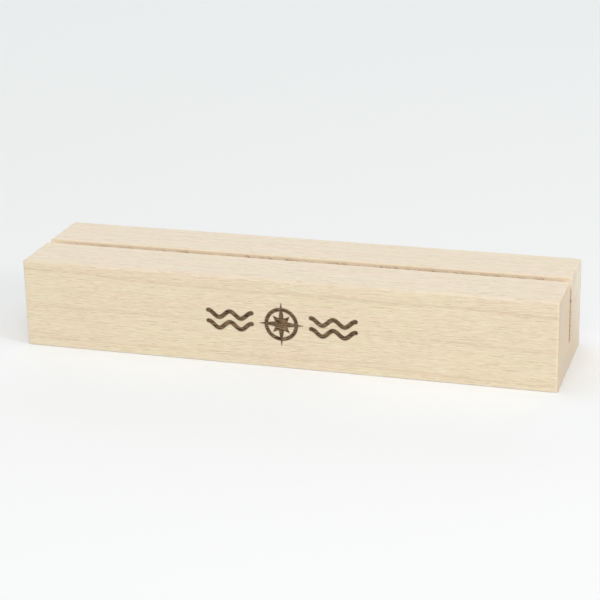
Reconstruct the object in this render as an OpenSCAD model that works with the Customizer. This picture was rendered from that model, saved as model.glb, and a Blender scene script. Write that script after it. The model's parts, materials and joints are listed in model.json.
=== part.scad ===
// Photo block: one solid block of beech with a saw slot along its top, which holds a card or a
// photo upright by one edge. A small ornament is burnt into the front face.
// X runs along the block and its grain, Y from front to back and Z up. The origin is the middle
// of the base. All sizes are in millimetres.

/* [Block] */
// Length of the block along the grain
block_length = 180; // [90:1:300]
// Depth of the block from front to back
block_depth = 44; // [26:1:90]
// Height of the block
block_height = 30; // [25:1:80]
// Radius of the sanded outer edges
edge_radius = 0.8; // [0.3:0.1:2.5]

/* [Slot] */
// Width of the saw slot
slot_width = 3.2; // [1.6:0.1:8]
// Depth of the slot below the top face
slot_depth = 21; // [8:0.5:24]
// Distance of the slot's middle plane behind the middle of the block; negative is in front
slot_setback = -0.5; // [-6:0.5:6]
// Leg of the small bevel sanded along every edge of the slot
slot_bevel = 0.3; // [0.1:0.1:0.8]

/* [Burnt ornament] */
// Height of the ornament's middle above the base
ornament_height = 15; // [11:0.5:16]
// Depth from the front face down to the charred wood
burn_depth = 0.4; // [0.2:0.05:1]
// Thickness of the charred layer
char_thickness = 0.15; // [0.05:0.05:0.4]

/* [Compass star] */
// Reach of the four long points from the middle
long_point = 7.2; // [5.8:0.1:9]
// Reach of the four short points from the middle
short_point = 3.8; // [2.8:0.1:4]
// Distance from the middle to the notches between the points
point_waist = 2.1; // [0.8:0.1:2.4]
// Inner radius of the ring round the short points
ring_inner = 4.5; // [4.2:0.1:4.8]
// Width of the ring's line
ring_line = 1.1; // [0.4:0.1:1.3]

/* [Waves] */
// Width of a wave's line
wave_line = 1.3; // [0.6:0.1:1.6]
// Length of one wave from crest to crest
wave_pitch = 7.4; // [5.8:0.2:9]
// Crests in a line
wave_crests = 3; // [2:1:4]
// Rise of a crest above the line's middle
wave_rise = 1.1; // [0.6:0.1:1.4]
// Lines on each side of the star
wave_rows = 2; // [1:1:3]
// Distance between the middles of two lines
wave_spacing = 3.7; // [3.2:0.1:4.2]
// Bare wood between the star's points and the waves
wave_gap = 2.2; // [1:0.1:5]

/* [Hidden] */
$fn = 48;
cut = 1; // how far a cutting shape runs past the surface that it cuts
points = 4; // long points of the star
corners_per_point = 4; // a long point, a notch, a short point and a notch
steps = 16; // straight pieces in one wave
front = -block_depth / 2;
slot_floor = block_height - slot_depth;
recess_depth = burn_depth + char_thickness;
beech = [0.9, 0.82, 0.68];
charred = [0.33, 0.22, 0.15];

// A rectangle with round corners, its middle at the origin
module rounded_rectangle(width, height, radius) {
    square([width - 2 * radius, height], center = true);
    square([width, height - 2 * radius], center = true);
    for (x = [-1, 1], y = [-1, 1])
        translate([x * (width / 2 - radius), y * (height / 2 - radius)])
            circle(r = radius);
}

// The planed and sanded block, before it is sawn
module sanded_block() {
    intersection() {
        rotate([90, 0, 90])
            linear_extrude(block_length + 2 * cut, center = true)
                translate([0, block_height / 2])
                    rounded_rectangle(block_depth, block_height, edge_radius);
        rotate([90, 0, 0])
            linear_extrude(block_depth + 2 * cut, center = true)
                translate([0, block_height / 2])
                    rounded_rectangle(block_length, block_height, edge_radius);
        translate([0, 0, -cut])
            linear_extrude(block_height + 2 * cut)
                rounded_rectangle(block_length, block_depth, edge_radius);
    }
}

// The outline of a saw cut from its floor out through a face, with a bevel where it meets the face
function bevelled_cut(length) = [
    [-slot_width / 2, 0],
    [slot_width / 2, 0],
    [slot_width / 2, length - slot_bevel],
    [slot_width / 2 + slot_bevel + cut, length + cut],
    [-slot_width / 2 - slot_bevel - cut, length + cut],
    [-slot_width / 2, length - slot_bevel]
];

// What the saw takes out: the slot, with its bevels along the top and down both ends
module saw_cut() {
    translate([0, slot_setback, slot_floor]) {
        rotate([90, 0, 90])
            linear_extrude(block_length + 2 * cut, center = true)
                polygon(bevelled_cut(slot_depth));
        for (side = [-90, 90])
            rotate([0, 0, side])
                linear_extrude(slot_depth + cut)
                    polygon(bevelled_cut(block_length / 2));
    }
}

// The compass star, with long and short points by turns
module star_outline() {
    reaches = [long_point, point_waist, short_point, point_waist];
    corners = corners_per_point * points;
    polygon([
        for (i = [0 : corners - 1])
            reaches[i % corners_per_point] * [sin(i * 360 / corners), cos(i * 360 / corners)]
    ]);
}

// The ring round the star's short points, which its long points cross
module ring_outline() {
    difference() {
        circle(r = ring_inner + ring_line);
        circle(r = ring_inner);
    }
}

// The middle of a wave's line and the direction square to it, at a distance along X
function wave_middle(x) = [x, wave_rise * cos(360 * x / wave_pitch)];
function wave_normal(x) =
    let (slope = -wave_rise * 2 * PI / wave_pitch * sin(360 * x / wave_pitch))
        [-slope, 1] / norm([slope, 1]);

// One line of waves, from its first crest to its last
module wave_outline() {
    length = (wave_crests - 1) * wave_pitch;
    count = (wave_crests - 1) * steps;
    stations = [for (i = [0 : count]) i * length / count];
    polygon(concat(
        [for (x = stations) wave_middle(x) + wave_normal(x) * wave_line / 2],
        [for (i = [count : -1 : 0])
            wave_middle(stations[i]) - wave_normal(stations[i]) * wave_line / 2]
    ));
}

// Stands an outline up in the front face, from one depth behind the face to another
module in_front_face(from, to) {
    translate([0, front + to, ornament_height])
        rotate([90, 0, 0])
            linear_extrude(to - from)
                children();
}

// The star and its ring, between two depths
module compass(from, to) {
    in_front_face(from, to) star_outline();
    in_front_face(from, to) ring_outline();
}

// The lines of waves on the right of the star, each with round ends, between two depths
module waves(from, to) {
    start = long_point + wave_gap + wave_line / 2;
    for (row = [0 : wave_rows - 1])
        translate([start, 0, (row - (wave_rows - 1) / 2) * wave_spacing]) {
            in_front_face(from, to) wave_outline();
            for (crest = [0, wave_crests - 1])
                in_front_face(from, to)
                    translate(wave_middle(crest * wave_pitch))
                        circle(d = wave_line);
        }
}

module beech_block() {
    color(beech)
        difference() {
            sanded_block();
            saw_cut();
            compass(-cut, recess_depth);
            waves(-cut, recess_depth);
            mirror([1, 0, 0]) waves(-cut, recess_depth);
        }
}

module burnt_compass() {
    color(charred) compass(burn_depth, recess_depth);
}

module burnt_waves_left() {
    color(charred) mirror([1, 0, 0]) waves(burn_depth, recess_depth);
}

module burnt_waves_right() {
    color(charred) waves(burn_depth, recess_depth);
}

beech_block();
burnt_compass();
burnt_waves_left();
burnt_waves_right();
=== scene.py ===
# %% [markdown]
# # A photo block in beech
# The real thing is one length of beech, planed, sawn along its top and sanded by hand, with a
# small ornament burnt into its front. The CAD frame gives its place and its true size. This
# lesson dresses the frame: it builds the wood again as a fine mesh, with eased edges, a sawn
# slot and a burnt relief, and gives it a wood that has grown in the round.

# %% Load the frame
import json
import math

import bmesh
import bpy
import numpy as np
from mathutils import Matrix, Vector, noise
from mathutils.geometry import delaunay_2d_cdt


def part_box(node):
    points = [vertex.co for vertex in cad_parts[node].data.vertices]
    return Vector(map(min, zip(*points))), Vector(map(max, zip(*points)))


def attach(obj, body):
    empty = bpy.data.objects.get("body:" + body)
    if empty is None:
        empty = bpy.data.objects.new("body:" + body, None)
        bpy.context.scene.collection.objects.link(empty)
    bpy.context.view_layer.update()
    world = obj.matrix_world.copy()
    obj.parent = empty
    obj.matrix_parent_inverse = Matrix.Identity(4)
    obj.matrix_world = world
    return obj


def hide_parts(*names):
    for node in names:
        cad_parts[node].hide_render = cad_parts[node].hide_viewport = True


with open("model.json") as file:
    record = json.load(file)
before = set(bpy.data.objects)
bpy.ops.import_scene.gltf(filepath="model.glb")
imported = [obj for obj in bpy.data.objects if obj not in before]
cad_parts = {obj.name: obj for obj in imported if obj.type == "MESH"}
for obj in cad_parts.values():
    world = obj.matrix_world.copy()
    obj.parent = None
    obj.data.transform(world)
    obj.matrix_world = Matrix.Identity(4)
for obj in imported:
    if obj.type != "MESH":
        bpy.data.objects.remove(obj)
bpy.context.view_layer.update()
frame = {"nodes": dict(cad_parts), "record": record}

print("nodes in the frame:", sorted(frame["nodes"]))

# %% [markdown]
# ## Measure the block
# Every size starts from the frame, so that the dressed block fills the same space as the CAD
# one. The slot's place is the record's mount for a card, and its width is one cut of a common
# saw blade. The lesson works in millimetres, because a woodworker thinks in them, and turns
# them into Blender's metres where something is put into the scene.

# %% The block's sizes
MM = 0.001

block_low, block_high = (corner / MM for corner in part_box("beech_block"))
LENGTH = block_high.x - block_low.x
FRONT, BACK = block_low.y, block_high.y
TOP = block_high.z
slot_mount = next(mount for mount in frame["record"]["mounts"] if mount["name"] == "card_slot")
SLOT_MIDDLE, SLOT_FLOOR = (part / MM for part in slot_mount["pos_m"][1:])
SLOT_WIDTH = 3.2
print(f"block {LENGTH:.1f} x {BACK - FRONT:.1f} x {TOP:.1f} mm")
print(f"slot at {SLOT_MIDDLE:.1f} mm, its floor {SLOT_FLOOR:.1f} mm up")

# %% [markdown]
# ## The camera
# A photo fixes its camera if some edges of a known box are found in it. Here the six edges
# that show give one place, one direction and one lens. Setting them as numbers is better than
# aiming by eye, because then the picture and the photo can be laid over each other.

# %% The camera
PHOTO_WIDTH_PX = 600
FOCAL_LENGTH_PX = 1870.8
SENSOR_MM = 36.0
CAMERA_PLACE_MM = Vector((172.15, -560.36, 227.30))
CAMERA_AZIMUTH_DEG = 17.101
CAMERA_ELEVATION_DEG = 19.852
CAMERA_ROLL_DEG = -1.255
CLIP_NEAR_M, CLIP_FAR_M = 0.01, 50.0


def make_camera():
    """The photographer's camera, from its place, its two angles and its small roll"""
    data = bpy.data.cameras.new("camera")
    data.sensor_width = SENSOR_MM
    data.lens = FOCAL_LENGTH_PX * SENSOR_MM / PHOTO_WIDTH_PX
    data.clip_start, data.clip_end = CLIP_NEAR_M, CLIP_FAR_M
    camera = bpy.data.objects.new("camera", data)
    turn = Matrix.Rotation(math.radians(CAMERA_AZIMUTH_DEG), 4, "Z")
    tilt = Matrix.Rotation(math.radians(90 - CAMERA_ELEVATION_DEG), 4, "X")
    roll = Matrix.Rotation(math.radians(CAMERA_ROLL_DEG), 4, "Z")
    camera.matrix_world = Matrix.Translation(CAMERA_PLACE_MM * MM) @ turn @ tilt @ roll
    bpy.context.collection.objects.link(camera)
    bpy.context.scene.camera = camera
    return camera


camera = make_camera()
print(f"lens {camera.data.lens:.1f} mm, {camera.location.length:.3f} m from the block")

# %% [markdown]
# ## A small kit for node materials
# Shader nodes are quicker to read as sums than as wires. This kit adds a node, sets its
# values and plugs its wires in one call, so a material reads like a recipe.


# %% A kit for materials
class Recipe:
    """A material's node tree, with short calls for the nodes that these recipes use"""

    def __init__(self, name):
        self.material = bpy.data.materials.new(name)
        self.material.use_nodes = True
        self.tree = self.material.node_tree
        self.tree.nodes.clear()

    def plug(self, value, socket):
        """Wires a socket into another, or sets a plain value on it"""
        if isinstance(value, bpy.types.NodeSocket):
            self.tree.links.new(value, socket)
        elif socket.type == "RGBA" and len(value) == 3:
            socket.default_value = (*value, 1.0)
        else:
            socket.default_value = value

    def add(self, kind, inputs=None, **settings):
        """A node of a kind, with its settings made and its inputs plugged"""
        node = self.tree.nodes.new("ShaderNode" + kind)
        for key, value in settings.items():
            setattr(node, key, value)
        for key, value in (inputs or {}).items():
            self.plug(value, node.inputs[key])
        return node

    def math(self, operation, *values):
        """One operation on up to three numbers"""
        return self.add("Math", dict(enumerate(values)), operation=operation).outputs[0]

    def times(self, first, second):
        """Two numbers multiplied"""
        return self.math("MULTIPLY", first, second)

    def plus(self, first, second):
        """Two numbers added"""
        return self.math("ADD", first, second)

    def minus(self, first, second):
        """The second number taken from the first"""
        return self.math("SUBTRACT", first, second)

    def straight(self, one_way, other_way):
        """The straight distance made by two distances square to each other"""
        squares = (self.math("POWER", one_way, 2.0), self.math("POWER", other_way, 2.0))
        return self.math("SQRT", self.plus(*squares))

    def vector(self, x, y, z):
        """Three numbers joined into a vector"""
        return self.add("CombineXYZ", {"X": x, "Y": y, "Z": z}).outputs[0]

    def noise(self, at, detail=2.0, roughness=0.5):
        """Smooth noise from 0 to 1, with one lump to a unit of the vector given"""
        inputs = {"Vector": at, "Scale": 1.0, "Detail": detail, "Roughness": roughness}
        return self.add("TexNoise", inputs).outputs["Fac"]

    def between(self, value, low, high, out_low=0.0, out_high=1.0):
        """A value's place between two marks, eased at both ends"""
        inputs = {"Value": value, "From Min": low, "From Max": high}
        inputs.update({"To Min": out_low, "To Max": out_high})
        return self.add("MapRange", inputs, interpolation_type="SMOOTHSTEP").outputs[0]

    def blend(self, share, first, second, mode="MIX"):
        """Two colours mixed by a share"""
        node = self.add("Mix", data_type="RGBA", blend_type=mode)
        self.plug(share, node.inputs[0])
        self.plug(first, node.inputs[6])
        self.plug(second, node.inputs[7])
        return node.outputs[2]

    def finish(self, shader):
        """Ends the recipe with its shader"""
        self.add("OutputMaterial", {"Surface": shader})
        return self.material


print("calls in the kit:", [name for name in vars(Recipe) if not name.startswith("_")])

# %% [markdown]
# ## Colours as a screen shows them
# A colour is easiest to choose on a screen, but a shader works with plain amounts of light. The
# screen bends those amounts by a curve, which is the sRGB standard's, so a helper bends a
# chosen colour back.


# %% Colours
def srgb(red, green, blue):
    """A colour as a screen gives it, 0 to 255, in the linear numbers that a shader takes"""
    parts = (red / 255, green / 255, blue / 255)
    return tuple(((p + 0.055) / 1.055) ** 2.4 if p > 0.04045 else p / 12.92 for p in parts)


print("a warm white reads", [round(part, 3) for part in srgb(245, 245, 241)])

# %% [markdown]
# ## The paper
# The block stands on a white paper sweep. Its colour carries painted shade: it is a little
# darker behind the block, where less of the lamps' light reaches. Close to the block it carries
# a painted glow, a little cooler and brighter, which cancels part of the wood's warm light on
# the paper and of the shade at its foot. One flat colour would be simpler, but a tint that
# follows the distance from the block is right on every side of it.

# %% The paper
PAPER_NEAR = srgb(250, 251, 251)
PAPER_FAR_PAINTED_SHADE = srgb(245, 248, 247)
PAPER_FARTHEST = srgb(247, 250, 250)
PAPER_BESIDE_PAINTED_GLOW = srgb(249, 252, 254)
PAPER_FOOT_PAINTED_GLOW = srgb(250, 253, 255)
BEHIND_M = (-0.06, 0.08)
FAR_BEHIND_M = (0.15, 0.5)
ROUND_THE_END_M = (-0.012, 0.006)
TINT_REACH_M = 0.055


def paper():
    """Matt white paper, with painted shade behind the block and a painted cooler glow close to it"""
    recipe = Recipe("sweep_paper")
    place = recipe.add("TexCoord").outputs["Object"]
    split = recipe.add("SeparateXYZ", {0: place})
    back = split.outputs["Y"]
    # painted shade: the paper darkens behind the block, and lightens a little far behind it
    colour = recipe.blend(recipe.between(back, *BEHIND_M), PAPER_NEAR, PAPER_FAR_PAINTED_SHADE)
    colour = recipe.blend(recipe.between(back, *FAR_BEHIND_M), colour, PAPER_FARTHEST)
    off_x = recipe.minus(recipe.math("ABSOLUTE", split.outputs["X"]), LENGTH / 2 * MM)
    off_y = recipe.minus(recipe.math("ABSOLUTE", back), BACK * MM)
    beside = recipe.math("MAXIMUM", off_x, 0.0)
    ahead = recipe.math("MAXIMUM", off_y, 0.0)
    away = recipe.straight(beside, ahead)
    # painted glow: cooler, brighter paper close to the block, along its sides and round its ends
    foot = recipe.blend(recipe.between(off_x, *ROUND_THE_END_M), PAPER_FOOT_PAINTED_GLOW, PAPER_BESIDE_PAINTED_GLOW)
    close = recipe.between(away, 0.0, TINT_REACH_M, 1.0, 0.0)
    colour = recipe.blend(close, colour, foot)
    shader = recipe.add("BsdfPrincipled", {"Base Color": colour, "Roughness": 0.9, "IOR": 1.3})
    return recipe.finish(shader.outputs[0])


paper_finish = paper()
print("finish of the floor:", paper_finish.name)

# %% [markdown]
# ## The floor
# The sweep fills the whole picture. From this height the camera never sees past the floor, so a
# wide plain disc does the same job, and it keeps the block's soft shadow. The disc lies a hair
# below the block, so that the two surfaces never share one plane, where a renderer couldn't
# tell which is in front.

# %% The floor
FLOOR_RADIUS_MM = 12000
FLOOR_SIDES = 96
FLOOR_DROP_MM = 0.02


def make_floor():
    """A disc under the block, wide enough to reach the horizon in every view"""
    mesh = bpy.data.meshes.new("floor")
    shape = bmesh.new()
    bmesh.ops.create_circle(shape, cap_ends=True, segments=FLOOR_SIDES, radius=FLOOR_RADIUS_MM * MM)
    shape.to_mesh(mesh)
    shape.free()
    floor = bpy.data.objects.new("floor", mesh)
    floor.location.z = -FLOOR_DROP_MM * MM
    bpy.context.collection.objects.link(floor)
    floor.data.materials.append(paper_finish)
    return floor


floor = make_floor()
print(f"{floor.name}: a disc {2 * FLOOR_RADIUS_MM * MM:.0f} m across")

# %% [markdown]
# ## The light
# The photo's light is very soft: one face is hardly darker than the next, and the shadow is a
# faint patch on the left. A bright sky all round gives most of that. A large lamp in front and
# a small one on the right add the slight shadow, and one behind and one above give the top
# its pale sheen. The view is set to Standard, which shows colours about as they are written.

# %% The light
SKY_STRENGTH = 0.72


def make_sky():
    """Even light from everywhere, seen as pale grey where a view looks past the floor"""
    world = bpy.data.worlds.new("studio")
    world.use_nodes = True
    nodes, links = world.node_tree.nodes, world.node_tree.links
    nodes.clear()
    light = nodes.new("ShaderNodeBackground")
    light.inputs["Strength"].default_value = SKY_STRENGTH
    seen = nodes.new("ShaderNodeBackground")
    seen.inputs["Color"].default_value = (*PAPER_FAR_PAINTED_SHADE, 1.0)
    seen.inputs["Strength"].default_value = 1.0
    ray = nodes.new("ShaderNodeLightPath")
    choice = nodes.new("ShaderNodeMixShader")
    out = nodes.new("ShaderNodeOutputWorld")
    links.new(ray.outputs["Is Camera Ray"], choice.inputs[0])
    links.new(light.outputs[0], choice.inputs[1])
    links.new(seen.outputs[0], choice.inputs[2])
    links.new(choice.outputs[0], out.inputs["Surface"])
    bpy.context.scene.world = world


def make_lamp(name, place, width, height, power):
    """A flat soft lamp at a place in metres, turned towards the block"""
    data = bpy.data.lights.new(name, "AREA")
    data.shape = "RECTANGLE"
    data.size, data.size_y = width, height
    data.energy = power
    lamp = bpy.data.objects.new(name, data)
    lamp.location = place
    lamp.rotation_mode = "QUATERNION"
    lamp.rotation_quaternion = (-Vector(place)).to_track_quat("-Z", "Y")
    bpy.context.collection.objects.link(lamp)
    return lamp


make_sky()
lamps = [
    make_lamp("front_lamp", place=(0.34, -1.36, 1.41), width=1.2, height=1.2, power=10.7),
    make_lamp("side_lamp", place=(1.45, -0.5, 0.7), width=0.45, height=0.45, power=6.3),
    make_lamp("back_lamp", place=(-0.55, 1.8, 0.72), width=2.2, height=0.8, power=5.2),
    make_lamp("top_lamp", place=(-0.3, 0.1, 1.9), width=1.0, height=1.0, power=3.5),
]
bpy.context.scene.view_settings.view_transform = "Standard"
print("lamps:", [lamp.name for lamp in lamps])

# %% [markdown]
# ## The ornament as a distance
# The mark on the front is burnt by a laser: a compass star in a ring between lines of waves.
# A drawing of outlines would do for flat ink. A burn has a lip, a wall and a floor, and all
# three follow the same outline. So the ornament is kept as a distance: how far a point on the
# face lies from the nearest burnt edge, less than nothing inside the burn. The boxes of the
# frame's burnt nodes give its reach and height, and the finer sizes are the ornament's own.

# %% The star and its ring
star_low, star_high = (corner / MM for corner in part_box("burnt_compass"))
ORNAMENT_HEIGHT = (star_low.z + star_high.z) / 2
LONG_POINT = (star_high.x - star_low.x) / 2
SHORT_POINT = 3.8
POINT_WAIST = 2.1
LONG_POINTS = 4
RING_INNER = 4.5
RING_LINE = 1.1


def star_corners():
    """The corners of the eight-pointed star, clockwise from the top"""
    reaches = (LONG_POINT, POINT_WAIST, SHORT_POINT, POINT_WAIST) * LONG_POINTS
    turns = np.arange(len(reaches)) * 2 * math.pi / len(reaches)
    return np.column_stack((np.sin(turns), np.cos(turns))) * np.array(reaches)[:, None]


def star_distance(x, z):
    """Distance from points to the star's outline, below zero inside it"""
    corners = star_corners()
    nearest = np.full(np.shape(x), np.inf)
    inside = np.zeros(np.shape(x), bool)
    for (ax, az), (bx, bz) in zip(corners, np.roll(corners, -1, axis=0)):
        run_x, run_z = bx - ax, bz - az
        share = np.clip(((x - ax) * run_x + (z - az) * run_z) / (run_x**2 + run_z**2), 0, 1)
        nearest = np.minimum(nearest, np.hypot(x - ax - share * run_x, z - az - share * run_z))
        if run_z:
            crossing = (az > z) != (bz > z)
            inside ^= crossing & (x < ax + run_x * (z - az) / run_z)
    return np.where(inside, -nearest, nearest)


def ring_distance(x, z):
    """Distance from points to the ring's two edges, below zero inside its line"""
    return np.abs(np.hypot(x, z) - RING_INNER - RING_LINE / 2) - RING_LINE / 2


print(f"star {2 * LONG_POINT:.1f} mm across, its middle {ORNAMENT_HEIGHT:.1f} mm up")

# %% [markdown]
# ## The waves as a distance
# A line of waves is a cosine drawn with a round pen. Its distance has no short formula, so the
# line is taken as many short straight parts, and a point's distance is the least of theirs.
# Two lines run on each side of the star, and a row and a side tell one function which is meant.

# %% The waves
waves_low, waves_high = (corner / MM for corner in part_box("burnt_waves_right"))
WAVE_LINE = 1.3
WAVE_RISE = 1.1
WAVES_IN_A_LINE = 2
WAVE_PARTS = 200
WAVE_START = waves_low.x + WAVE_LINE / 2
WAVE_PITCH = (waves_high.x - waves_low.x - WAVE_LINE) / WAVES_IN_A_LINE
WAVE_SPACING = waves_high.z - waves_low.z - 2 * WAVE_RISE - WAVE_LINE


def wave_middle(along, row, side):
    """A point on the middle of a wave's line, by its distance from the line's first crest"""
    x = side * (WAVE_START + along)
    return x, row * WAVE_SPACING / 2 + WAVE_RISE * np.cos(2 * math.pi * along / WAVE_PITCH)


def wave_distance(x, z, row, side):
    """Distance from points to one wavy line's edge, below zero inside the line"""
    along = np.linspace(0, WAVES_IN_A_LINE * WAVE_PITCH, WAVE_PARTS + 1)
    line_x, line_z = wave_middle(along, row, side)
    nearest = np.full(np.shape(x), np.inf)
    for i in range(len(along) - 1):
        run_x, run_z = line_x[i + 1] - line_x[i], line_z[i + 1] - line_z[i]
        share = ((x - line_x[i]) * run_x + (z - line_z[i]) * run_z) / (run_x**2 + run_z**2)
        share = np.clip(share, 0, 1)
        off = np.hypot(x - line_x[i] - share * run_x, z - line_z[i] - share * run_z)
        nearest = np.minimum(nearest, off)
    return nearest - WAVE_LINE / 2


def burn_distance(x, z):
    """Distance from points on the front face to the nearest burnt edge"""
    z = z - ORNAMENT_HEIGHT
    nearest = np.minimum(star_distance(x, z), ring_distance(x, z))
    for row in (-1, 1):
        for side in (-1, 1):
            nearest = np.minimum(nearest, wave_distance(x, z, row, side))
    return nearest


print(f"waves of {WAVE_PITCH:.1f} mm, lines {WAVE_SPACING:.1f} mm apart")

# %% [markdown]
# ## Contour lines round the burn
# A mesh shows a crisp edge only where its own edges run along it. So closed lines are laid at
# fixed distances from the burnt edge, like the contours on a map, and the face is later cut
# along all of them. The ring's are circles and the waves' are offset curves. The star's are
# found along rays from its middle, by halving, because its points are too sharp to offset.

# %% The star's contours
SCORCH_END = 0.5
SCORCH_FADED = 0.28
RIM_WIDTH = 0.12
CRUST_EDGE = -0.05
WALL_FOOT = -0.1
ON_THE_CHAR = (-0.2, -0.38)
CONTOURS = (SCORCH_END, SCORCH_FADED, RIM_WIDTH, 0.0, CRUST_EDGE, WALL_FOOT, *ON_THE_CHAR)
STEP_MM = 0.28
HALVINGS = 30
STAR_MARGIN = 1.0


def star_contour(offset):
    """The line at a distance from the star's outline"""
    corners = star_corners()
    rays = []
    for start, end in zip(corners, np.roll(corners, -1, axis=0)):
        count = math.ceil(np.hypot(*(end - start)) / STEP_MM)
        points = start + (end - start) * (np.arange(count) / count)[:, None]
        rays.extend(points / np.hypot(points[:, 0], points[:, 1])[:, None])
    rays = np.array(rays)
    near, far = np.zeros(len(rays)), np.full(len(rays), LONG_POINT + STAR_MARGIN)
    for _ in range(HALVINGS):
        middle = (near + far) / 2
        inside = star_distance(rays[:, 0] * middle, rays[:, 1] * middle) < offset
        near, far = np.where(inside, middle, near), np.where(inside, far, middle)
    return rays * near[:, None]


print(f"the star's contours lie {CONTOURS[-1]} to {CONTOURS[0]} mm from its outline")

# %% The ring's and the waves' contours
THINNEST_WAVE = 0.1


def circle_contour(radius):
    """A circle round the ornament's middle"""
    count = math.ceil(2 * math.pi * radius / STEP_MM)
    turns = np.arange(count) * 2 * math.pi / count
    return np.column_stack((np.sin(turns), np.cos(turns))) * radius


def wave_contour(offset, row, side):
    """The line at a distance from one wavy line's edge, with round ends"""
    half = WAVE_LINE / 2 + offset
    end = WAVES_IN_A_LINE * WAVE_PITCH
    along = np.linspace(0, end, math.ceil(end / STEP_MM))
    x, z = wave_middle(along, row, side)
    slope = -side * WAVE_RISE * 2 * math.pi / WAVE_PITCH * np.sin(2 * math.pi * along / WAVE_PITCH)
    square = np.column_stack((-slope, np.ones_like(slope))) / np.hypot(slope, 1)[:, None]
    middle = np.column_stack((x, z))
    turns = np.linspace(0, math.pi, math.ceil(math.pi * half / STEP_MM) + 1)[1:-1]
    cap = np.column_stack((np.sin(turns) * side, np.cos(turns))) * half
    far_cap, near_cap = middle[-1] + cap, middle[0] - cap
    sides = (middle + square * half, far_cap, (middle - square * half)[::-1], near_cap)
    return np.concatenate(sides)


def contours(offset):
    """Every closed line at a distance from the burnt edges, on the face's own plane"""
    lines = [star_contour(offset)]
    lines.append(circle_contour(RING_INNER - offset))
    lines.append(circle_contour(RING_INNER + RING_LINE + offset))
    if WAVE_LINE / 2 + offset > THINNEST_WAVE:
        lines.extend(wave_contour(offset, row, side) for row in (-1, 1) for side in (-1, 1))
    return [line + np.array((0, ORNAMENT_HEIGHT)) for line in lines]


print("points on the burnt edge itself:", sum(len(line) for line in contours(0.0)))

# %% [markdown]
# ## The block's outline
# Sawn and sanded wood is never quite sharp. A hand with fine paper rounds each long edge by a
# little under a millimetre, a bit more here and less there. A bevel modifier would round them
# all alike, so the outline is written as a function of the distance along the block: straight
# runs and arcs, with a radius that wanders.


# %% Drift, runs and arcs
def wander(x, scale, seed):
    """A slow random drift between -1 and 1 along the block"""
    return noise.noise(Vector((x / scale, seed, 0.5)))


def run(start, end, parts):
    """Points along a straight run, without its last"""
    start, end = np.array(start), np.array(end)
    return [tuple(start + (end - start) * i / parts) for i in range(parts)]


def arc(centre, radius, start, end, parts):
    """Points along an arc from one angle to another, in degrees, without its last"""
    turns = [math.radians(start + (end - start) * i / parts) for i in range(parts)]
    return [(centre[0] + radius * math.cos(t), centre[1] + radius * math.sin(t)) for t in turns]


quarter = arc((0, 0), 1, 0, 90, 3)
print("a quarter circle in three parts:", [(round(y, 2), round(z, 2)) for y, z in quarter])

# %% [markdown]
# ## One slice through the block
# At each place along the block its slice has fourteen stretches: runs along the faces, arcs
# round the edges, and the slot's two walls and floor. The paper takes less off the underside
# than off the top, and the saw blade wanders by a tenth of a millimetre. Near the two ends the
# slice shrinks along a quarter circle, which eases the end edges as well.

# %% The outline at a station
TOP_EASE = 0.8
FOOT_EASE = 0.42
EASE_WANDER = 0.14
END_EASE = 0.8
FOOT_SHARE = 0.55
CORNER_SHRINK = 0.85
SLOT_EASE = 0.42
SLOT_MOUTH = 0.1
BLADE_WANDER = 0.1
LIP_WANDER = 0.12
ARC_PARTS = 6
FRONT_PARTS = 19
SIDE_PARTS = 12
BOTTOM_PARTS = 24
BED_PARTS = 3
EASE_DRIFT_MM = 23
LIP_DRIFT_MM, LIP_SEED = 4, 5
BLADE_DRIFT_MM, BLADE_SEED = 14, 6
BED_DRIFT_MM, BED_SEED = 17, 7
SANDED, SAWN = 0, 1


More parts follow.
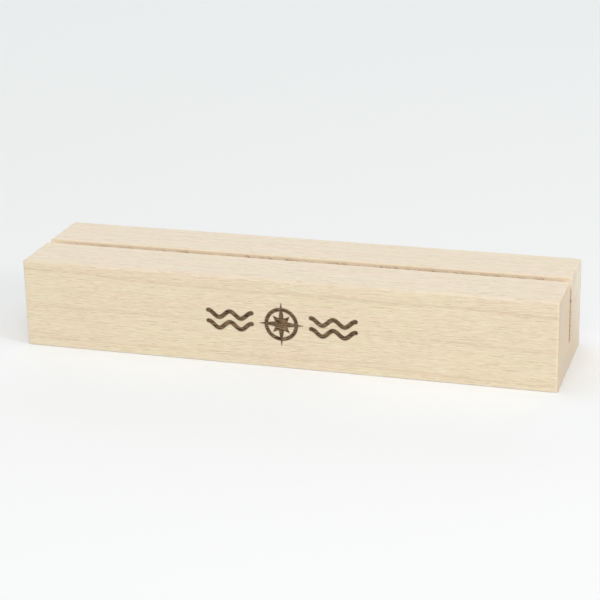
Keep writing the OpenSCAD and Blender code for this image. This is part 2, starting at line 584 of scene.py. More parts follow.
def outline(x):
    """The block's outline at station x: (y, z) points in order, and each stretch's finish"""
    to_end = LENGTH / 2 - abs(x)
    inset = END_EASE - math.sqrt(max(END_EASE**2 - max(END_EASE - to_end, 0) ** 2, 0))
    left, right, low, high = FRONT + inset, BACK - inset, inset * FOOT_SHARE, TOP - inset
    shrink = 1 - CORNER_SHRINK * inset / END_EASE
    radii = (FOOT_EASE, TOP_EASE, TOP_EASE, FOOT_EASE)
    drifts = [wander(x, EASE_DRIFT_MM, seed) for seed in range(len(radii))]
    ease = [(r + EASE_WANDER * r * drift) * shrink for r, drift in zip(radii, drifts)]
    lip = SLOT_EASE + LIP_WANDER * wander(x, LIP_DRIFT_MM, LIP_SEED)
    blade = BLADE_WANDER * wander(x, BLADE_DRIFT_MM, BLADE_SEED)
    mouth = SLOT_MOUTH * inset / END_EASE
    near = SLOT_MIDDLE - SLOT_WIDTH / 2 - mouth + blade
    far = SLOT_MIDDLE + SLOT_WIDTH / 2 + mouth + blade
    bed = SLOT_FLOOR - mouth + BLADE_WANDER * wander(x, BED_DRIFT_MM, BED_SEED)
    front_low, front_high, back_high, back_low = ease
    stretches = [
        (run((left, low + front_low), (left, high - front_high), FRONT_PARTS), SANDED),
        (arc((left + front_high, high - front_high), front_high, 180, 90, ARC_PARTS), SANDED),
        (run((left + front_high, high), (near - lip, high), SIDE_PARTS), SANDED),
        (arc((near - lip, high - lip), lip, 90, 0, ARC_PARTS), SANDED),
        (run((near, high - lip), (near, bed), SIDE_PARTS), SAWN),
        (run((near, bed), (far, bed), BED_PARTS), SAWN),
        (run((far, bed), (far, high - lip), SIDE_PARTS), SAWN),
        (arc((far + lip, high - lip), lip, 180, 90, ARC_PARTS), SANDED),
        (run((far + lip, high), (right - back_high, high), SIDE_PARTS), SANDED),
        (arc((right - back_high, high - back_high), back_high, 90, 0, ARC_PARTS), SANDED),
        (run((right, high - back_high), (right, low + back_low), FRONT_PARTS), SANDED),
        (arc((right - back_low, low + back_low), back_low, 0, -90, ARC_PARTS), SANDED),
        (run((right - back_low, low), (left + front_low, low), BOTTOM_PARTS), SANDED),
        (arc((left + front_low, low + front_low), front_low, -90, -180, ARC_PARTS), SANDED),
    ]
    points = [point for stretch, _ in stretches for point in stretch]
    finishes = [finish for stretch, finish in stretches for _ in stretch]
    return points, finishes


print(len(outline(0)[0]), "points round the middle of the block")

# %% [markdown]
# ## Where the slices are taken
# Slices a millimetre and a half apart are enough to follow the wander of the edges. On the
# round ends they stand closer, at even steps of the quarter circle.

# %% Stations along the block
STATION_MM = 1.5


def stations():
    """Places along the block where the outline is taken, close together on the round ends"""
    turns = np.radians(np.linspace(90, 0, ARC_PARTS + 1))
    ends = LENGTH / 2 - END_EASE + END_EASE * np.sin(turns)
    middle = np.linspace(-ends[-1], ends[-1], round(2 * ends[-1] / STATION_MM) + 1)
    return np.concatenate((-ends, middle[1:-1], ends[::-1]))


STATIONS = stations()
print(len(STATIONS), "stations along the block")

# %% [markdown]
# ## Cutting a face along its contours
# The front face needs the contour lines as edges, and the two ends need to be filled round
# the slot. Both are the same job: a flat outline, lines that must become edges, and loose
# points in between, joined into even triangles. Blender has this as a Delaunay triangulation.

# %% A patch of triangles
INSIDE_THE_BORDER = 1
WELD_MM = 1e-4


def closed_edges(start, count):
    """The edges that join points start, start + 1 and so on into a closed line"""
    return [(start + i, start + (i + 1) % count) for i in range(count)]


def patch(border, lines, loose):
    """Triangles inside a border: their flat points, and for each the border point it came from"""
    points, edges = [Vector(p) for p in border], []
    for line in lines:
        edges.extend(closed_edges(len(points), len(line)))
        points.extend(Vector(p) for p in line)
    points.extend(Vector(p) for p in loose)
    outer = [list(range(len(border)))]
    made = delaunay_2d_cdt(points, edges, outer, INSIDE_THE_BORDER, WELD_MM)
    flat, triangles, sources = made[0], made[2], made[3]
    on_border = [min((s for s in source if s < len(border)), default=None) for source in sources]
    return np.array([tuple(p) for p in flat]), triangles, on_border


square = patch([(0, 0), (1, 0), (1, 1), (0, 1)], [], [(0.5, 0.5)])
print("a square with one loose point makes", len(square[1]), "triangles")

# %% [markdown]
# ## The burn's section
# A laser takes the wood away evenly and leaves steep walls. The rim sinks a little where the
# heat dried it, the wall drops in a tenth of a millimetre, and the floor is flat. Written as a
# curve of depth against distance, it gives every point of the face its depth at once.

# %% The burn's section
CHAR_TOP = star_low.y - FRONT
CHAR_BOTTOM = star_high.y - FRONT
RIM_DEPTH = 0.05
SCORCH_ON_RIM, SCORCH_LAST = 0.35, 0.08


def burn_depth(distance):
    """Depth of the wood's own surface behind the front face, at distances from the burnt edge"""
    marks = (WALL_FOOT, CRUST_EDGE, 0.0, RIM_WIDTH)
    depths = (CHAR_BOTTOM, CHAR_TOP, RIM_DEPTH, 0.0)
    return np.interp(distance, marks, depths)


def scorch(distance):
    """How brown the heat has left the wood, 1 in the burn and fading out over its rim"""
    marks = (0.0, RIM_WIDTH, SCORCH_FADED, SCORCH_END)
    return np.interp(distance, marks, (1.0, SCORCH_ON_RIM, SCORCH_LAST, 0.0))


print(f"char from {CHAR_TOP:.2f} to {CHAR_BOTTOM:.2f} mm behind the face")

# %% [markdown]
# ## Loose points on the front
# Triangles shade best when their sides are about alike. Loose points fill the room between the
# lines: wide apart on plain flat wood, close together in the burn, where the shape changes
# fast. Every other row is shifted by half a step, and the rows stand a little closer than the
# points in them, which makes the triangles even. No loose point stands close to a contour.

# %% The front face's points
FACE_GRID = 2.0
BURN_GRID = 0.55
CHAR_GRID = 0.3
ROW_SHARE = 0.87
FACE_MARGIN = 2.0
BURN_MARGIN = 1.5
BURN_CLEARANCE = BURN_GRID / 3
CHAR_CLEARANCE = CHAR_GRID / 3


def grid(x_low, x_high, z_low, z_high, step):
    """Loose points on a grid, every other row shifted by half a step"""
    points = []
    for i, z in enumerate(np.arange(z_low, z_high, step * ROW_SHARE)):
        points.extend((x, z) for x in np.arange(x_low + (i % 2) * step / 2, x_high, step))
    return np.array(points)


def face_points():
    """Loose points for the front face: wide apart on plain wood, close together in the burn"""
    reach = waves_high.x + BURN_MARGIN
    low, high = star_low.z - BURN_MARGIN, star_high.z + BURN_MARGIN
    side = LENGTH / 2 - FACE_MARGIN
    wide = grid(-side, side, FACE_MARGIN, TOP - FACE_MARGIN, FACE_GRID)
    outside = (np.abs(wide[:, 0]) > reach) | (wide[:, 1] < low) | (wide[:, 1] > high)
    near = grid(-reach, reach, low, high, BURN_GRID)
    near = near[burn_distance(near[:, 0], near[:, 1]) > CONTOURS[0] + BURN_CLEARANCE]
    deep = grid(-reach, reach, low, high, CHAR_GRID)
    deep = deep[burn_distance(deep[:, 0], deep[:, 1]) < CONTOURS[-1] - CHAR_CLEARANCE]
    return np.concatenate((wide[outside], near, deep))


loose = face_points()
print(len(loose), "loose points on the front face")

# %% [markdown]
# ## The block
# Now the parts come together. Each pair of outlines is joined by a row of quads, except for
# the middle of the front face, which is the patch with the burn in it, and the two ends, which
# are patches round the slot. They share their border points, so the block is one closed skin.


# %% The rows between the outlines
class Skin:
    """Points and faces of a closed skin, with each face's finish and each point's scorch"""

    def __init__(self):
        self.points, self.faces, self.finishes, self.scorches = [], [], [], []

    def point(self, x, y, z, scorched=0.0):
        """Adds a point and gives its number"""
        self.points.append((x, y, z))
        self.scorches.append(scorched)
        return len(self.points) - 1

    def face(self, corners, finish):
        """Adds a face"""
        self.faces.append(tuple(corners))
        self.finishes.append(finish)


def add_rows(skin):
    """Joins the outlines station by station, and gives the numbers of their points"""
    rows = [[skin.point(x, y, z) for y, z in outline(x)[0]] for x in STATIONS]
    finishes = outline(0)[1]
    count = len(finishes)
    for i in range(len(rows) - 1):
        in_patch = ARC_PARTS <= i < len(rows) - 1 - ARC_PARTS
        for j in range(FRONT_PARTS if in_patch else 0, count):
            k = (j + 1) % count
            skin.face((rows[i][j], rows[i][k], rows[i + 1][k], rows[i + 1][j]), finishes[j])
    return rows


skin = Skin()
rows = add_rows(skin)
print(len(skin.faces), "faces between the outlines")


# %% The front with its burn
def add_front(skin, rows):
    """Fills the middle of the front face with the patch that holds the burn"""
    first, last = ARC_PARTS, len(rows) - 1 - ARC_PARTS
    border = [rows[i][0] for i in range(first, last)]
    border += rows[last][:FRONT_PARTS]
    border += [rows[i][FRONT_PARTS] for i in range(last, first, -1)]
    border += rows[first][1:FRONT_PARTS + 1][::-1]
    places = [(skin.points[n][0], skin.points[n][2]) for n in border]
    lines = [line for offset in CONTOURS for line in contours(offset)]
    flat, triangles, sources = patch(places, lines, loose)
    distance = burn_distance(flat[:, 0], flat[:, 1])
    depth, scorched = burn_depth(distance), scorch(distance)
    numbers = []
    for (x, z), source, y, s in zip(flat, sources, FRONT + depth, scorched):
        numbers.append(skin.point(x, y, z, s) if source is None else border[source])
    for a, b, c in triangles:
        skin.face((numbers[a], numbers[b], numbers[c]), SANDED)
    return flat, triangles, distance


face_flat, face_triangles, face_distance = add_front(skin, rows)
print(len(face_triangles), "triangles on the front")

# %% The two ends
END_MARGIN_LOW, END_MARGIN_HIGH = 1.5, 1.0
SLOT_MARGIN = 1.2


def add_end(skin, row, facing):
    """Fills one end of the block round its slot, facing 1 to the right or -1 to the left"""
    border = [(skin.points[n][1], skin.points[n][2]) for n in row]
    first, last = FRONT + END_MARGIN_LOW, BACK - END_MARGIN_HIGH
    inner = grid(first, last, END_MARGIN_LOW, TOP - END_MARGIN_HIGH, FACE_GRID)
    beside = np.abs(inner[:, 0] - SLOT_MIDDLE) < SLOT_WIDTH / 2 + SLOT_MARGIN
    in_slot = beside & (inner[:, 1] > SLOT_FLOOR - SLOT_MARGIN)
    flat, triangles, sources = patch(border, [], inner[~in_slot])
    x = skin.points[row[0]][0]
    numbers = [skin.point(x, y, z) if s is None else row[s] for (y, z), s in zip(flat, sources)]
    for a, b, c in triangles:
        skin.face((numbers[a], numbers[b], numbers[c])[::facing], SANDED)


add_end(skin, rows[0], -1)
add_end(skin, rows[-1], 1)
print(len(skin.points), "points and", len(skin.faces), "faces in the block's skin")

# %% [markdown]
# ## From points to a piece
# A mesh that will be exported has to be sound: no loose points, no doubled ones, every edge
# between exactly two faces, and every face turned outwards. So each piece passes through one
# function that makes it, turns its faces outwards and counts its open edges. Where two faces
# meet at more than 38 degrees a crease stays, and all else is shaded smooth.

# %% Make a piece
SHARP_ANGLE = math.radians(38)


def make_piece(name, points, faces, finishes=None, scorches=None):
    """A mesh piece from points in millimetres, cleaned and checked"""
    mesh = bpy.data.meshes.new(name)
    used = sorted({n for face in faces for n in face})
    place = {n: i for i, n in enumerate(used)}
    corners = [[place[n] for n in face] for face in faces]
    mesh.from_pydata([Vector(points[n]) * MM for n in used], [], corners)
    if finishes:
        mesh.polygons.foreach_set("material_index", finishes)
    if scorches:
        values = mesh.attributes.new("scorch", "FLOAT", "POINT")
        values.data.foreach_set("value", [scorches[n] for n in used])
    shape = bmesh.new()
    shape.from_mesh(mesh)
    bmesh.ops.recalc_face_normals(shape, faces=shape.faces)
    open_edges = sum(len(edge.link_faces) != 2 for edge in shape.edges)
    volume = shape.calc_volume(signed=True)
    shape.to_mesh(mesh)
    shape.free()
    mesh.shade_smooth()
    mesh.set_sharp_from_angle(angle=SHARP_ANGLE)
    piece = bpy.data.objects.new(name, mesh)
    bpy.context.collection.objects.link(piece)
    print(f"{name}: {len(mesh.polygons)} faces, {open_edges} open edges, {volume / MM**3:.1f} mm3")
    return piece


print(f"a crease stays above {math.degrees(SHARP_ANGLE):.0f} degrees")

# %% Make the block
block = make_piece("sanded_block", skin.points, skin.faces, skin.finishes, skin.scorches)
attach(block, "root")
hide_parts("beech_block")
print("the block's box, mm:", [round(v / MM, 2) for v in block.dimensions])

# %% [markdown]
# ## The char
# What the laser leaves on the floor of the burn is a thin crust of charred wood. Its outline
# is already in the front face's triangles, so the crust is made from those inside it: one
# copy for its rough top, one for its underside, and a low wall where only one triangle meets
# an edge. The wall stands inside the wood, so the crust has no gap round it.

# %% The char's surface
CRUST_RELIEF = 0.035
STREAK_MM, STREAK_SEED = (1.3, 0.22), 3.1
LUMP_MM, LUMP_SEED = (0.6, 0.45), 8.4
STREAK_PART, LUMP_PART = 0.65, 0.5


def crust_height(x, z):
    """How far the char stands up or sinks, in streaks along the grain"""
    streak = noise.noise(Vector((x / STREAK_MM[0], z / STREAK_MM[1], STREAK_SEED)))
    lump = noise.noise(Vector((x / LUMP_MM[0], z / LUMP_MM[1], LUMP_SEED)))
    return CRUST_RELIEF * (STREAK_PART * streak + LUMP_PART * lump)


print(f"the crust is {crust_height(0, ORNAMENT_HEIGHT):.3f} mm proud at the star's middle")

# %% The three crusts
RIM_THICKNESS = 0.03


def make_char(name, node, low, high):
    """The crust of char between two places along the block"""
    middles = face_flat[face_triangles].mean(axis=1)
    inside = burn_distance(middles[:, 0], middles[:, 1]) < CRUST_EDGE
    inside &= (middles[:, 0] > low) & (middles[:, 0] < high)
    crust = [face_triangles[i] for i in np.flatnonzero(inside)]
    edges = {(triangle[i], triangle[(i + 1) % 3]) for triangle in crust for i in range(3)}
    rim = [(a, b) for a, b in edges if (b, a) not in edges]
    on_rim = {n for edge in rim for n in edge}
    points, number = [], {}
    for n in sorted({n for triangle in crust for n in triangle}):
        x, z = face_flat[n]
        rise = 0.0 if n in on_rim else crust_height(x, z)
        bed = max(float(burn_depth(face_distance[n])), CHAR_TOP + RIM_THICKNESS)
        number[n] = len(points)
        points += [(x, FRONT + CHAR_TOP - rise, z), (x, FRONT + bed, z)]
    top = [tuple(number[n] for n in triangle) for triangle in crust]
    under = [(c + 1, b + 1, a + 1) for a, b, c in top]
    walls = [(number[b], number[a], number[a] + 1, number[b] + 1) for a, b in sorted(rim)]
    piece = make_piece(name, points, top + under + walls)
    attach(piece, "root")
    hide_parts(node)
    return piece


side = (waves_low.x + LONG_POINT) / 2
chars = [
    make_char("charred_compass", "burnt_compass", -side, side),
    make_char("charred_waves_left", "burnt_waves_left", -LENGTH / 2, -side),
    make_char("charred_waves_right", "burnt_waves_right", side, LENGTH / 2),
]
print(len(chars), "crusts of char, parted", round(side, 1), "mm from the star's middle")

# %% [markdown]
# ## Beech, grown in the round
# Beech has three marks of its own. Its year rings are fine lines, a little pinker where the
# summer's growth ends. Its rays are thin sheets that run out from the tree's heart: cut
# across, on the front, they show as short dark dashes, and at the end as fine straight lines.
# And its pores draw hairlines along the grain. A picture of wood wrapped round the block would
# break at every edge. Here the rings and rays are worked out in the tree's own space, by the
# distance from its heart, the way round it and the way up it, and the pores run lengthwise
# through the block, so every face shows its own cut of them. The heart lay behind the block
# and above it, so the rings cross its end as slanting lines. No tree grows quite straight, so
# noise bends that space a little.

# %% The wood's own space
HEART_Y = 300.0
HEART_Z = 130.0
FACE_RADIUS = math.hypot(HEART_Y - FRONT, HEART_Z - TOP / 2)
SLOW_BEND_MM, SLOW_BEND_LUMPS = 1.8, (85, 40, 40)
QUICK_BEND_MM, QUICK_BEND_LUMPS = 0.3, (16, 9, 9)
LEAN = -0.0053


def scaled(recipe, place, sizes):
    """A place in units of a size for each way, so that noise there has lumps of that size"""
    return recipe.vector(*(recipe.math("DIVIDE", part, size) for part, size in zip(place, sizes)))


def tree_space(recipe):
    """A point's place in the block, its distance out from the heart and its way round it, in mm"""
    split = recipe.add("SeparateXYZ", {0: recipe.add("TexCoord").outputs["Object"]})
    place = [recipe.times(split.outputs[i], 1 / MM) for i in range(3)]
    x, y, z = place
    out_y = recipe.minus(HEART_Y, y)
    out_z = recipe.minus(z, HEART_Z)
    slow = recipe.noise(scaled(recipe, place, SLOW_BEND_LUMPS), detail=1.0)
    quick = recipe.noise(scaled(recipe, place, QUICK_BEND_LUMPS), detail=2.0)
    small_bend = recipe.times(quick, QUICK_BEND_MM)
    bend = recipe.math("MULTIPLY_ADD", slow, SLOW_BEND_MM, small_bend)
    lean = recipe.times(x, LEAN)
    radius = recipe.plus(recipe.straight(out_y, out_z), recipe.plus(bend, lean))
    round_way = recipe.times(recipe.math("ARCTAN2", out_z, out_y), FACE_RADIUS)
    return place, radius, round_way


print(f"the front face lies about {FACE_RADIUS:.0f} mm from the heart of the tree")

# %% [markdown]
# ## Year rings
# Each mark of the wood is a number from 0 to 1, so that a finish can use it for colour, for
# gloss or for relief as it likes. A ring's is the distance from the heart, counted in years:
# it climbs slowly through the summer, ends in a quick line, and starts again from nothing. No
# two summers are alike, so each year has a strength of its own.

# %% Year rings
RING_MM = 3.93
RING_PHASE = 0.57
LATE_START, LATE_END = 0.62, 0.97
LINE_SHARPNESS = 9.0
LINE_PART, GROWTH_PART = 0.75, 0.25
FAINTEST_YEAR = 0.35


def ring_mark(recipe, radius):
    """A year ring: slowly up through the summer's growth, and a quick line at its end"""
    count = recipe.math("MULTIPLY_ADD", radius, 1 / RING_MM, RING_PHASE)
    through = recipe.math("FRACT", count)
    year = recipe.math("FLOOR", count)
    strength = recipe.add("TexWhiteNoise", {"W": year}, noise_dimensions="1D").outputs["Value"]
    late = recipe.between(through, LATE_START, LATE_END)
    early = recipe.between(through, LATE_END, 1.0, 1.0, 0.0)
    fine_line = recipe.times(recipe.math("POWER", late, LINE_SHARPNESS), LINE_PART)
    growth = recipe.math("MULTIPLY_ADD", recipe.math("POWER", late, 2.0), GROWTH_PART, fine_line)
    line = recipe.times(growth, early)
    return recipe.times(line, recipe.between(strength, 0.0, 1.0, FAINTEST_YEAR, 1.0))


print(f"rings of {RING_MM} mm")

# %% [markdown]
# ## Rays
# Rays come in two sizes, as in the tree, and some have a pale side where they catch the light.
# Lines drawn one by one would take thousands of points. A cell pattern gives each ray a place
# and a strength of its own, and stretching its cells makes the sheets.

# %% Rays
BIG_RAY = {"thick": 0.23, "deep": 18.0, "tall": 5.2, "share": 0.5}
SMALL_RAY = {"thick": 0.25, "deep": 8.0, "tall": 3.4, "share": 0.6}
PALE_RAY = {"thick": 0.26, "deep": 14.0, "tall": 4.6, "share": 0.5}
RAY_REACH, RAY_SPREAD, RAY_SOFTNESS = 0.44, 0.12, 0.12
FULL_STRENGTH_AT = 1.15


def ray_mark(recipe, radius, round_way, up, thick, deep, tall, share):
    """Rays as stretched boxes, in a share of all cells and each with a strength of its own"""
    at = scaled(recipe, (up, radius, round_way), (tall, deep, thick))
    inputs = {"Vector": at, "Scale": 1.0, "Randomness": 1.0}
    cells = recipe.add("TexVoronoi", inputs, distance="CHEBYCHEV")
    own = recipe.add("SeparateColor", {0: cells.outputs["Color"]})
    reach = recipe.math("MULTIPLY_ADD", own.outputs[1], -RAY_SPREAD, RAY_REACH)
    past_reach = recipe.minus(cells.outputs["Distance"], reach)
    inside = recipe.between(past_reach, 0.0, -RAY_SOFTNESS)
    strength = recipe.between(own.outputs[0], 1 - share, FULL_STRENGTH_AT - share / 2)
    return recipe.times(inside, strength)


print(f"rays up to {BIG_RAY['tall']} mm tall")

# %% [markdown]
# ## Painted highlights on the edges and the lip
# Sanding breaks the edges, and the slot's lip is eased too. Their rounding catches the light, and
# that highlight is painted here as a paler colour. A map of it would have to be painted by hand.
# Both places follow from the block's sizes: a point is on an edge where two faces are near, and
# on the lip where a slot's wall and the top are.

# %% Edges and lip
EDGE_HIGHLIGHT_FADE_MM = (0.95, 0.45)
LIP_HIGHLIGHT_FADE_MM = (1.25, 0.35)


def edge_highlight_mark(recipe, x, y, z):
    """The painted highlight on the block's edges: 1 where two of its faces are both near"""
    from_end = recipe.minus(LENGTH / 2, recipe.math("ABSOLUTE", x))
    from_side = recipe.minus(BACK, recipe.math("ABSOLUTE", y))
    from_top = recipe.math("MINIMUM", z, recipe.minus(TOP, z))
    nearest = recipe.math("MINIMUM", from_end, from_side)
    farthest = recipe.math("MAXIMUM", from_end, from_side)
    second = recipe.math("MAXIMUM", nearest, recipe.math("MINIMUM", farthest, from_top))
    return recipe.between(second, *EDGE_HIGHLIGHT_FADE_MM)


def lip_highlight_mark(recipe, y, z):
    """The painted highlight where the slot's walls come out through the top: 1 on the lip"""
    off_middle = recipe.math("ABSOLUTE", recipe.minus(y, SLOT_MIDDLE))
    off_wall = recipe.minus(off_middle, SLOT_WIDTH / 2 + SLOT_EASE / 2)
    off_top = recipe.minus(TOP, z)
    reach = recipe.math("MAXIMUM", recipe.math("ABSOLUTE", off_wall), off_top)
    return recipe.between(reach, *LIP_HIGHLIGHT_FADE_MM)


# the widths over which the painted highlights of the edges and the lip fade out
print(f"the edges' wear fades out over {EDGE_HIGHLIGHT_FADE_MM[0]} mm, and the lip's over {LIP_HIGHLIGHT_FADE_MM[0]} mm")

# %% [markdown]
# ## All the marks together
# Every finish needs the same marks at the same places, so one function works them all out.
# Rays weave round each other, so noise shifts them up and down the tree, and the pale ones are
# set a hair beside the dark. They also gather in crowds, as they do in real beech.

# %% All the marks
WEAVE_LUMPS, WEAVE_MM = (12.0, 25.0, 1.3), 13.0
RAY_SLANT = 1.7
BESIDE_MM = 0.32
OTHER_RAYS_UP_MM = 57.0
CROWD_LUMPS, CROWD_FADE, THINNEST_CROWD = (26.0, 5.0, 4.0), (0.35, 0.62), 0.6
PORE_LUMPS = (3.2, 0.24, 0.24)
STREAK_LUMPS = (30.0, 0.4, 0.4)
TONE_LUMPS = (24.0, 6.0, 6.0)
PATCH_LUMPS = (30.0, 9.0, 9.0)
END_TURN = (0.35, 0.95)


def wood_marks(recipe):
    """Every mark of the beech at a point"""
    place, radius, round_way = tree_space(recipe)
    x, y, z = place
    weave = recipe.noise(scaled(recipe, (x, radius, round_way), WEAVE_LUMPS), detail=1.0)
    slanted = recipe.math("MULTIPLY_ADD", round_way, RAY_SLANT, x)
    up = recipe.math("MULTIPLY_ADD", weave, WEAVE_MM, slanted)
    far_up = recipe.plus(up, OTHER_RAYS_UP_MM)
    beside = recipe.plus(round_way, BESIDE_MM)
    ray = ray_mark(recipe, radius, round_way, up, **BIG_RAY)
    pale_side = ray_mark(recipe, radius, beside, up, **BIG_RAY)
    pale_ray = ray_mark(recipe, radius, beside, far_up, **PALE_RAY)
    crowd = recipe.noise(scaled(recipe, place, CROWD_LUMPS))
    crowd = recipe.between(crowd, *CROWD_FADE, THINNEST_CROWD, 1.0)
    normal = recipe.add("SeparateXYZ", {0: recipe.add("TexCoord").outputs["Normal"]})
    across = recipe.math("ABSOLUTE", normal.outputs[0])
    pore_at, streak_at = scaled(recipe, place, PORE_LUMPS), scaled(recipe, place, STREAK_LUMPS)
    return {
        "x": x,
        "y": y,
        "z": z,
        "ring": ring_mark(recipe, radius),
        "ray": recipe.times(ray, crowd),
        "small_ray": ray_mark(recipe, radius, round_way, far_up, **SMALL_RAY),
        "pale": recipe.math("MAXIMUM", pale_ray, pale_side),
        "pore": recipe.noise(pore_at, detail=3.0, roughness=0.6),
        "streak": recipe.noise(streak_at, detail=3.0, roughness=0.65),
        "tone": recipe.noise(scaled(recipe, place, TONE_LUMPS), detail=3.0),
        "patch": recipe.noise(scaled(recipe, place, PATCH_LUMPS), detail=2.0),
        "end": recipe.between(across, *END_TURN),
        # painted highlights on the eased edges and on the slot's lip
        "worn": edge_highlight_mark(recipe, x, y, z),
        "lip": lip_highlight_mark(recipe, y, z),
    }


print(f"pores {PORE_LUMPS[0]} mm long and {PORE_LUMPS[1]} mm wide")

# %% [markdown]
# ## The colour of sanded beech
# Fresh sanded beech is a pale cream with very little contrast. Its colour is built up in the
# same order as in the tree: a broad drift between cream and pink, the rings, the rays dark or
# pale, and the pores. Light that falls into a pore bounces about and comes out warmer, so a
# hollow loses more of its blue than of its red. End grain has clearer rings and fainter rays.

# %% The colour of sanded beech
CREAM = srgb(235, 220, 188)
BLUSH = srgb(237, 217, 190)
LATE_WOOD = srgb(216, 190, 158)
RAY_BROWN = srgb(189, 164, 112)
RAY_PALE = srgb(247, 236, 214)
HOLLOW_WARMTH = (0.94, 1.1, 1.6)
RING_ON_FACE, RING_ON_END = 0.46, 0.74
RAY_ON_FACE, RAY_ON_END = 0.44, 0.3
SMALL_RAY_SHARE, PALE_SHARE = 0.28, 0.5
TONE_FADE, GRAIN_FADE = (0.35, 0.65), (0.3, 0.7)
STREAK_SHADES = (0.965, 1.02)
PORE_SHADES = (0.93, 1.035)


def face_colour(recipe, marks):
    """The colour of the rings, rays and pores on a cut along the grain"""
    colour = recipe.blend(recipe.between(marks["tone"], *TONE_FADE), CREAM, BLUSH)
    ring_share = recipe.between(marks["end"], 0.0, 1.0, RING_ON_FACE, RING_ON_END)
    ray_share = recipe.between(marks["end"], 0.0, 1.0, RAY_ON_FACE, RAY_ON_END)
    colour = recipe.blend(recipe.times(marks["ring"], ring_share), colour, LATE_WOOD)
    colour = recipe.blend(recipe.times(marks["pale"], PALE_SHARE), colour, RAY_PALE)
    small_share = recipe.times(marks["small_ray"], SMALL_RAY_SHARE)
    colour = recipe.blend(small_share, colour, RAY_BROWN)
    colour = recipe.blend(recipe.times(marks["ray"], ray_share), colour, RAY_BROWN)
    streak = recipe.between(marks["streak"], *GRAIN_FADE, *STREAK_SHADES)
    pore = recipe.between(marks["pore"], *GRAIN_FADE, *PORE_SHADES)
    shade = recipe.times(streak, pore)
    parts = [recipe.math("MULTIPLY_ADD", shade, part, 1 - part) for part in HOLLOW_WARMTH]
    hollow = recipe.add("CombineColor", dict(enumerate(parts))).outputs[0]
    return recipe.blend(1.0, colour, hollow, mode="MULTIPLY")


print("cream and blush read", [round(part, 3) for part in CREAM + BLUSH])

# %% [markdown]
# ## End grain and painted highlights
# At the ends the wood is cut right across, and there it drinks the light and looks darker. The
# end grain is paler towards the top and the back, with darker patches in between. A second
# material for the ends would change at a hard line. So the same beech is tinted instead, by how
# squarely a face looks along the block, and the painted highlights on the edges and the lip
# are added last.

# %% End grain and painted highlights
END_TINT = srgb(224, 207, 176)
END_UPPER_BACK = srgb(244, 245, 246)
END_DARK_PATCH = srgb(214, 202, 184)
EDGE_HIGHLIGHT = srgb(250, 240, 224)
LIP_HIGHLIGHT = srgb(249, 224, 186)
UPPER_BACK_SLOPE, UPPER_BACK_FADE_MM = 0.9, (-2.0, 26.0)
DARK_PATCH_FADE, DARK_PATCH_SHARE = (0.5, 0.62), 0.7
EDGE_HIGHLIGHT_SHARE, LIP_HIGHLIGHT_SHARE = 0.15, 0.4


def wood_colour(recipe, marks):
    """The beech's colour all over, with its end grain and the painted highlights on its edges and
    lip
    """
    colour = face_colour(recipe, marks)
    above_middle = recipe.minus(marks["z"], TOP / 2)
    # the end grain gets paler towards the top and the back, with darker patches in between
    up_and_back = recipe.math("MULTIPLY_ADD", above_middle, UPPER_BACK_SLOPE, marks["y"])
    end_tone = recipe.blend(recipe.between(up_and_back, *UPPER_BACK_FADE_MM), END_TINT, END_UPPER_BACK)
    dark_patch = recipe.between(marks["patch"], *DARK_PATCH_FADE, 0.0, DARK_PATCH_SHARE)
    end_grain = recipe.blend(1.0, colour, recipe.blend(dark_patch, end_tone, END_DARK_PATCH), mode="MULTIPLY")
    colour = recipe.blend(marks["end"], colour, end_grain)
    # painted highlights: paler eased edges, and a paler, warmer lip
    colour = recipe.blend(recipe.times(marks["worn"], EDGE_HIGHLIGHT_SHARE), colour, EDGE_HIGHLIGHT)
    return recipe.blend(recipe.times(marks["lip"], LIP_HIGHLIGHT_SHARE), colour, LIP_HIGHLIGHT)


print("the end grain keeps", [round(part, 2) for part in END_TINT], "of the red, green and blue")

# %% [markdown]
# ## Sanded beech
# Colour alone looks printed. A faint relief from the pores and rays, a gloss that changes with
# the rays and a little sheen from the loose fibres make it wood. Round the burn the heat has
# browned it, by the amount that each point of the skin carries.

# %% Sanded beech
SCORCHED = srgb(96, 68, 46)
PORE_DEPTH_MM = 0.016
RAY_RELIEF = -0.5
WOOD_ROUGHNESS, RAY_ROUGHNESS = 0.52, 0.42


def bump(recipe, height, depth):
    """A bump from a mark's height, of a depth in millimetres"""
    inputs = {"Height": height, "Distance": depth * MM, "Strength": 1.0}
    return recipe.add("Bump", inputs).outputs[0]


def sanded_beech():
    """Bare beech after fine paper, browned where the burn's heat reached it"""
    recipe = Recipe("sanded_beech")
    marks = wood_marks(recipe)
    scorched = recipe.add("Attribute", attribute_name="scorch").outputs["Fac"]
    colour = recipe.blend(scorched, wood_colour(recipe, marks), SCORCHED)
    rough = recipe.between(marks["ray"], 0.0, 1.0, WOOD_ROUGHNESS, RAY_ROUGHNESS)
    height = recipe.plus(marks["pore"], recipe.times(marks["ray"], RAY_RELIEF))
    inputs = {"Base Color": colour, "Roughness": rough, "IOR": 1.5}
    inputs.update({"Normal": bump(recipe, height, PORE_DEPTH_MM)})
    inputs.update({"Sheen Weight": 0.5, "Sheen Roughness": 0.5})
    return recipe.finish(recipe.add("BsdfPrincipled", inputs).outputs[0])


block.data.materials.append(sanded_beech())
print("finish", SANDED, "on the block:", block.data.materials[SANDED].name)

# %% [markdown]
# ## What the saw leaves
# A circular saw leaves the slot's walls rougher than the faces: the blade's teeth draw shallow
# curved scratches, and where the blade dragged it scorched the wood to orange and brown. The
# scratches are arcs of the blade's own circle, so they come from the distance to its hub. The
# brown is partly that scorch and partly painted shade: it starts in patches below the lip and
# grows into the slot, stays faint near the slot's upper corners, and is browner to the right.
# The walls are also painted paler and warmer all over, a painted light against the slot's shade.

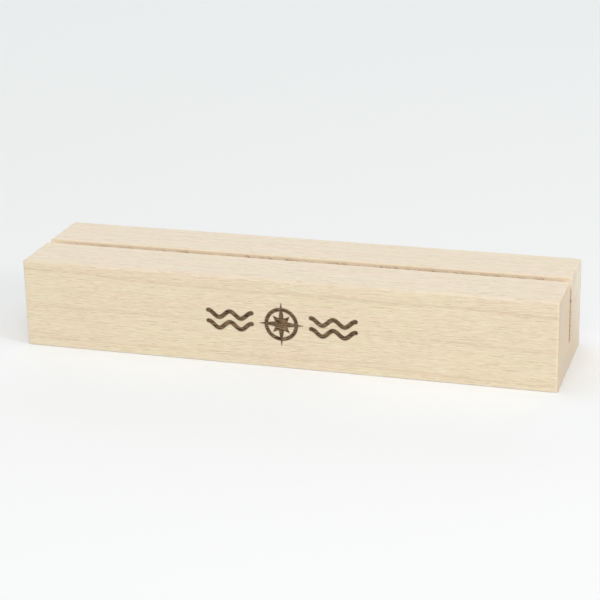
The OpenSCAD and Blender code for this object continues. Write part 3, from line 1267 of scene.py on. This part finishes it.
# %% Where the blade scorched, and the painted shade
RUB_LUMPS, RUB_RAGGED_MM = (4.0, 30.0, 4.0), 0.6
SCORCH_AND_SHADE_DEPTH_MM = (0.5, 2.1)
CORNER_FADE_MM = (1.2, 4.8)
MOUTH_FADE_MM, SCORCH_AND_SHADE_AT_MOUTH = (0.0, 2.5), 0.8


def scorch_and_shade_mark(recipe, x, y, z):
    """How much scorch and painted shade: in patches below the lip, less at the slot's corners"""
    from_top = recipe.minus(TOP, z)
    patches = recipe.noise(scaled(recipe, (x, y, z), RUB_LUMPS), detail=3.0, roughness=0.6)
    ragged = recipe.between(patches, *GRAIN_FADE, -RUB_RAGGED_MM, RUB_RAGGED_MM)
    # painted shade: the slot darkens from half a millimetre to two below the top, with a ragged edge
    below_lip = recipe.between(recipe.plus(from_top, ragged), *SCORCH_AND_SHADE_DEPTH_MM)
    from_end = recipe.minus(LENGTH / 2, recipe.math("ABSOLUTE", x))
    past_corner = recipe.between(recipe.straight(from_top, from_end), *CORNER_FADE_MM)
    past_mouth = recipe.between(from_end, *MOUTH_FADE_MM, SCORCH_AND_SHADE_AT_MOUTH, 1.0)
    return recipe.times(below_lip, recipe.times(past_corner, past_mouth))


# the scorch and the painted shade are full this far below the top
print(f"the scorch is full {SCORCH_AND_SHADE_DEPTH_MM[1]} mm below the top")

# %% Scratches of the teeth
BLADE_RADIUS = 95.0
TOOTH_MARK_MM = 1.5
SCRATCH_DRIFT_MM = 40.0


def tooth_scratches(recipe, x, z):
    """Noise along the arcs that the blade's teeth drew, by their distance from its hub"""
    below_hub = recipe.minus(SLOT_FLOOR + BLADE_RADIUS, z)
    square = recipe.math("POWER", below_hub, 2.0)
    left_over = recipe.math("MAXIMUM", recipe.minus(BLADE_RADIUS**2, square), 0.0)
    along = recipe.plus(x, recipe.math("SQRT", left_over))
    tooth = recipe.math("DIVIDE", along, TOOTH_MARK_MM)
    drift = recipe.math("DIVIDE", z, SCRATCH_DRIFT_MM)
    return recipe.noise(recipe.vector(tooth, drift, 0.0), detail=2.0)


print(f"scratches about {TOOTH_MARK_MM} mm apart, from a blade of {2 * BLADE_RADIUS:.0f} mm")

# %% [markdown]
# ## The sawn slot
# The slot's finish is the same beech, painted paler and warmer all over, then browned by the
# scorch and the painted shade below the lip, and browned again in the scratches. The scratches
# also give the relief, since they are what a finger feels there.

# %% The sawn slot
SAWN_PAINTED_PALE = srgb(255, 240, 214)
SLOT_SCORCH_AND_SHADE = srgb(198, 153, 112)
TOOTH_BROWN = srgb(112, 72, 42)
SAWN_PALE_SHARE = 0.85
SCORCH_AND_SHADE_LEFT, SCORCH_AND_SHADE_RIGHT = 0.48, 0.72
SCRATCH_FADE = (0.52, 0.66)
TOOTH_ON_LIP, TOOTH_BELOW = 0.15, 0.6
SCRATCH_DEPTH_MM, PORE_RELIEF = 0.06, 0.4


def sawn_beech():
    """Beech as the saw left it, warm and scorched in patches"""
    recipe = Recipe("sawn_beech")
    marks = wood_marks(recipe)
    x, y, z = marks["x"], marks["y"], marks["z"]
    # painted light: paler, warmer walls all over, against the slot's shade
    colour = recipe.blend(SAWN_PALE_SHARE, wood_colour(recipe, marks), SAWN_PAINTED_PALE)
    scorch_and_shade_share = scorch_and_shade_mark(recipe, x, y, z)
    browner_rightward = recipe.between(x, -LENGTH / 2, LENGTH / 2, SCORCH_AND_SHADE_LEFT, SCORCH_AND_SHADE_RIGHT)
    # scorch and painted shade, browner to the right
    colour = recipe.blend(recipe.times(scorch_and_shade_share, browner_rightward), colour, SLOT_SCORCH_AND_SHADE)
    scratch = tooth_scratches(recipe, x, z)
    # the scratches brown more where the scorch and the painted shade are
    charred = recipe.between(scorch_and_shade_share, 0.0, 1.0, TOOTH_ON_LIP, TOOTH_BELOW)
    burn = recipe.times(recipe.between(scratch, *SCRATCH_FADE), charred)
    colour = recipe.blend(burn, colour, TOOTH_BROWN)
    height = recipe.plus(scratch, recipe.times(marks["pore"], PORE_RELIEF))
    inputs = {"Base Color": colour, "Roughness": 0.75, "IOR": 1.5}
    inputs.update({"Normal": bump(recipe, height, SCRATCH_DEPTH_MM)})
    return recipe.finish(recipe.add("BsdfPrincipled", inputs).outputs[0])


block.data.materials.append(sawn_beech())
print("finish", SAWN, "on the block:", block.data.materials[SAWN].name)

# %% [markdown]
# ## Burnt beech
# Char isn't black here: the laser only toasts the wood to a dark brown, and the grain shows
# through, because the rays and the harder streaks burn less than the rest. It has no gloss.

# %% Burnt beech
CHAR_DARK = srgb(54, 36, 18)
CHAR_LIGHT = srgb(161, 132, 98)
CHAR_LUMPS = (2.2, 0.3, 0.3)
CHAR_FADE = (0.34, 0.72)
RAY_IN_CHAR = 0.2
CHAR_RELIEF_MM = 0.04


def burnt_beech():
    """Dark toasted beech with its grain still showing"""
    recipe = Recipe("burnt_beech")
    marks = wood_marks(recipe)
    fine = recipe.noise(scaled(recipe, (marks["x"], marks["y"], marks["z"]), CHAR_LUMPS), detail=3.0)
    share = recipe.plus(fine, recipe.times(marks["ray"], RAY_IN_CHAR))
    colour = recipe.blend(recipe.between(share, *CHAR_FADE), CHAR_DARK, CHAR_LIGHT)
    inputs = {"Base Color": colour, "Roughness": 0.9, "IOR": 1.4}
    inputs.update({"Normal": bump(recipe, fine, CHAR_RELIEF_MM)})
    return recipe.finish(recipe.add("BsdfPrincipled", inputs).outputs[0])


char_finish = burnt_beech()
for piece in chars:
    piece.data.materials.append(char_finish)
print("finish in the burn:", char_finish.name)

# %% [markdown]
# ## The dressed block's size
# The dressed block must fill the CAD block's box and no more.
